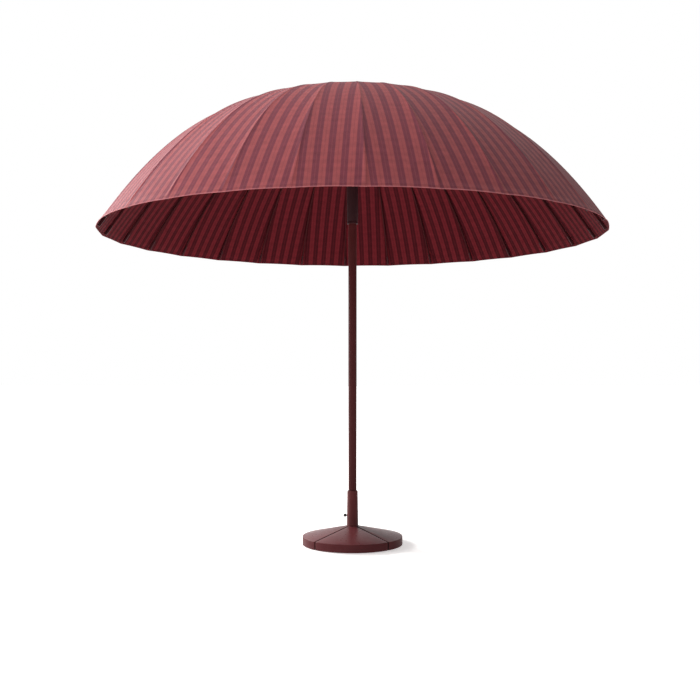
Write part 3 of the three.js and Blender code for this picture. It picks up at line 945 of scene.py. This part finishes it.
def clamp():
    """The threaded screw and the ball that turns it, on the left of the socket."""
    low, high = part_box("clamp_screw")
    height, radius = mid_height("clamp_screw"), (high.z - low.z) / 2
    start, end, root = -high.x, -low.x, radius - THREAD_DEPTH
    profile = [(SCREW_CORE, start), (radius - 0.0008, start)]
    for i in range(int((end - start) / THREAD_PITCH) - 1):
        crest = start + (i + 1) * THREAD_PITCH
        profile += [(radius, crest - THREAD_PITCH * 0.12), (radius, crest + THREAD_PITCH * 0.12),
                    (root, crest + THREAD_PITCH / 2)]
    profile += [(root, end), (SCREW_CORE, end)]
    screw = turned("threaded_screw", profile, 32)
    lie_left = Matrix.Translation((0, 0, height)) @ Matrix.Rotation(-math.pi / 2, 4, "Y")
    screw.data.transform(lie_left)
    settle(screw)
    soften(screw, 0.0001, 1, 60)
    coat(screw, STEEL)
    finish_piece(screw, "clamp_screw", "bare_steel", "clamp_screw")
    low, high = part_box("clamp_knob")
    ball = (high.z - low.z) / 2
    middle = low.x + ball
    deselect()
    bpy.ops.mesh.primitive_uv_sphere_add(segments=48, ring_count=32, radius=ball,
                                         location=(middle, 0, height), rotation=(0, math.pi / 2, 0))
    knob = named("ball_knob")
    bpy.ops.object.transform_apply(location=True, rotation=True, scale=True)
    bpy.ops.object.mode_set(mode="EDIT")
    bpy.ops.mesh.select_all(action="SELECT")
    bpy.ops.mesh.bisect(plane_co=(high.x, 0, height), plane_no=(1, 0, 0), use_fill=True,
                        clear_outer=True)
    bpy.ops.object.mode_set(mode="OBJECT")
    choose(knob, lambda centre, normal: normal.x > 0.999 and centre.x > high.x - 0.0005)
    bpy.ops.mesh.inset(thickness=ball * 0.87 - KNOB_NECK - 0.002)
    bpy.ops.object.mode_set(mode="OBJECT")
    settle(knob)
    # The parting line of the mould is a fine step round the ball.
    choose(knob, lambda centre, normal: abs(centre.x - middle) < 0.0004)
    bpy.ops.mesh.extrude_region_shrink_fatten(TRANSFORM_OT_shrink_fatten={"value": 0.00012})
    bpy.ops.object.mode_set(mode="OBJECT")
    settle(knob)
    take(knob)
    bpy.ops.object.shade_smooth_by_angle(angle=math.radians(30))
    coat(knob, NYLON)
    finish_piece(knob, "clamp_screw", "black_plastic", "clamp_knob")


# ---- base ----

SIDES = {"right": 0, "back": 1, "left": 2, "front": 3}


def weight_profile():
    """The ring's section: a shallow cone, an upright edge, a skirt and a relief over the flange."""
    low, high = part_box("base_weight_right")
    socket_low, socket_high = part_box("socket")
    plate_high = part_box("base_plate")[1]
    inside = SOCKET_FOOT_RADIUS + WEIGHT_CLEARANCE
    relief = socket_high.x + WEIGHT_CLEARANCE
    ceiling = socket_low.z + FLANGE_HEIGHT + WEIGHT_CLEARANCE
    skirt = plate_high.x + WEIGHT_CLEARANCE
    underside = plate_high.z + REST_GAP
    return [(inside, ceiling), (relief, ceiling), (relief, underside), (skirt, underside),
            (skirt, low.z), (high.x, low.z), (high.x, BASE_EDGE), (inside, high.z)]


def base_weights():
    """One ring cut into four quarters, each with softened edges and near-black joint faces, a painted
    shade.

    The upright edge gets a darker paint than the top, as painted shade.
    """
    for side, quarter in SIDES.items():
        weight = turned(f"cast_weight_{side}", weight_profile(), BASE_STEPS)
        facing = quarter * math.pi / 2
        coat(weight, BASE_PAINT, JOINT_SHADE, SHADED_EDGE_PAINT)
        choose(weight, lambda centre, _: math.hypot(centre.x, centre.y) > BASE_RADIUS - EDGE_BAND)
        weight.active_material_index = 2
        bpy.ops.object.material_slot_assign()
        bpy.ops.object.mode_set(mode="OBJECT")
        for turn in (math.pi / 4, -math.pi / 4):
            across = Vector((-math.sin(facing + turn), math.cos(facing + turn), 0))
            across *= math.copysign(1, turn)
            on_joint = -across * WEIGHT_GAP / 2
            take(weight)
            bpy.ops.object.mode_set(mode="EDIT")
            bpy.ops.mesh.select_all(action="SELECT")
            bpy.ops.mesh.bisect(plane_co=on_joint, plane_no=across, use_fill=True,
                                clear_outer=True)
            bpy.ops.object.mode_set(mode="OBJECT")
            # The cut faces in each joint take the near-black paint, a painted shade for the gap.
            choose(weight, lambda centre, _: abs((centre - on_joint).dot(across)) < 1e-5)
            weight.active_material_index = 1
            bpy.ops.object.material_slot_assign()
            bpy.ops.object.mode_set(mode="OBJECT")
        settle(weight)
        soften(weight, WEIGHT_ROUNDING, 3, 25, 30)
        finish_piece(weight, f"base_weight_{side}", "base_paint", f"base_weight_{side}")


def base_plate():
    """The round steel plate under the weights, which the socket stands on."""
    low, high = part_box("base_plate")
    hole, rim = 0.01, high.x
    plate = turned("steel_plate", [(hole, low.z), (rim, low.z), (rim, high.z), (hole, high.z)],
                   BASE_STEPS)
    soften(plate, 0.0012, 2, 30)
    coat(plate, SOCKET_PAINT)
    finish_piece(plate, "base", "socket_paint", "base_plate")


def rubber_ring():
    """The ring under the plate, with three grooves on its sole."""
    low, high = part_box("base_pad_ring")
    inside, outside = high.x - PAD_WIDTH, high.x
    profile = [(inside, low.z)]
    for i in range(PAD_GROOVES):
        groove = inside + (outside - inside) * (i + 1) / (PAD_GROOVES + 1)
        profile += [(groove - 0.0015, low.z), (groove - 0.001, low.z + 0.0015),
                    (groove + 0.001, low.z + 0.0015), (groove + 0.0015, low.z)]
    profile += [(outside, low.z), (outside, high.z), (inside, high.z)]
    ring = turned("grooved_rubber_ring", profile, BASE_STEPS)
    soften(ring, 0.0005, 1, 35)
    coat(ring, RUBBER)
    finish_piece(ring, "base", "rubber", "base_pad_ring")


# ---- studio ----

def soft_lamp(name, size, power, place, aim):
    """A round area lamp at its place, turned towards a point."""
    light = bpy.data.lights.new(name, "AREA")
    light.shape, light.size, light.energy = "DISK", size, power
    lamp = bpy.data.objects.new(name, light)
    bpy.context.scene.collection.objects.link(lamp)
    lamp.location = place
    lamp.rotation_euler = (Vector(aim) - lamp.location).to_track_quat("-Z", "Y").to_euler()


def studio():
    """A white floor, a pale wall that is brightest behind on the left, and two soft lamps.

    One lamp is high on the left, and the other is behind on the left.
    """
    deselect()
    bpy.ops.mesh.primitive_plane_add(size=FLOOR_SIZE, location=(0, 0, 0))
    floor = named("studio_floor")
    material, tree, shader = blank("studio_floor_paint", Metallic=0.0, Roughness=0.9)
    shader.inputs["Base Color"].default_value = linear("#f4f2f0")
    shader.inputs["Emission Color"].default_value = (1, 1, 1, 1)
    place = add_node(tree, "ShaderNodeTexCoord").outputs["Object"]
    distance = add_node(tree, "ShaderNodeVectorMath", {"operation": "LENGTH"},
                        i0=place).outputs["Value"]
    glow = add_node(tree, "ShaderNodeMapRange", Value=distance, From_Min=GLOW_START, From_Max=GLOW_END,
                    To_Min=0.5, To_Max=1.0).outputs["Result"]
    tree.links.new(glow, shader.inputs["Emission Strength"])
    coat(floor, material)
    world = bpy.data.worlds.new("studio")
    bpy.context.scene.world = world
    world.use_nodes = True
    tree = world.node_tree
    direction = add_node(tree, "ShaderNodeTexCoord").outputs["Generated"]
    side = add_node(tree, "ShaderNodeVectorMath", {"operation": "DOT_PRODUCT"},
                    i0=direction, i1=WALL_BRIGHT_SIDE).outputs["Value"]
    wall = add_node(tree, "ShaderNodeMapRange", Value=side, From_Min=-0.3, From_Max=1.0,
                    To_Min=WALL_DIM, To_Max=1.0).outputs["Result"]
    seen = add_node(tree, "ShaderNodeLightPath").outputs["Is Camera Ray"]
    tree.links.new(maths(tree, "MAXIMUM", wall, seen), tree.nodes["Background"].inputs["Strength"])
    tree.nodes["Background"].inputs["Color"].default_value = (1, 1, 1, 1)
    soft_lamp("key", size=3.5, power=900, place=(-5.6, -1.2, 8.4), aim=(0, 0, 1.8))
    soft_lamp("rim", size=2.5, power=600, place=(-5.6, 3.2, 3.6), aim=(0, 0, 2.2))


def camera():
    """The camera stands in front, a little to the right, at chest height, and looks slightly up."""
    lens = bpy.data.cameras.new("camera")
    lens.lens, lens.sensor_width = LENS_MM, SENSOR_MM
    eye_point = bpy.data.objects.new("camera", lens)
    bpy.context.scene.collection.objects.link(eye_point)
    eye_point.location = CAMERA_PLACE
    towards = Vector(CAMERA_AIM) - eye_point.location
    eye_point.rotation_euler = towards.to_track_quat("-Z", "Y").to_euler()
    bpy.context.scene.camera = eye_point
    bpy.context.scene.view_settings.view_transform = "Standard"


camera()
for index, rib in enumerate(RIBS):
    canopy_panel(index, rib)
crown_cap()
ribs_and_struts()
hub()
runner()
lock_pin()
pole()
socket()
socket_collar()
clamp()
base_weights()
base_plate()
rubber_ring()
for name, material in {"rib_ring": STEEL, "strut_ring": STEEL, "pole_foot": NYLON}.items():
    coat(frame["nodes"][name], material)
studio()
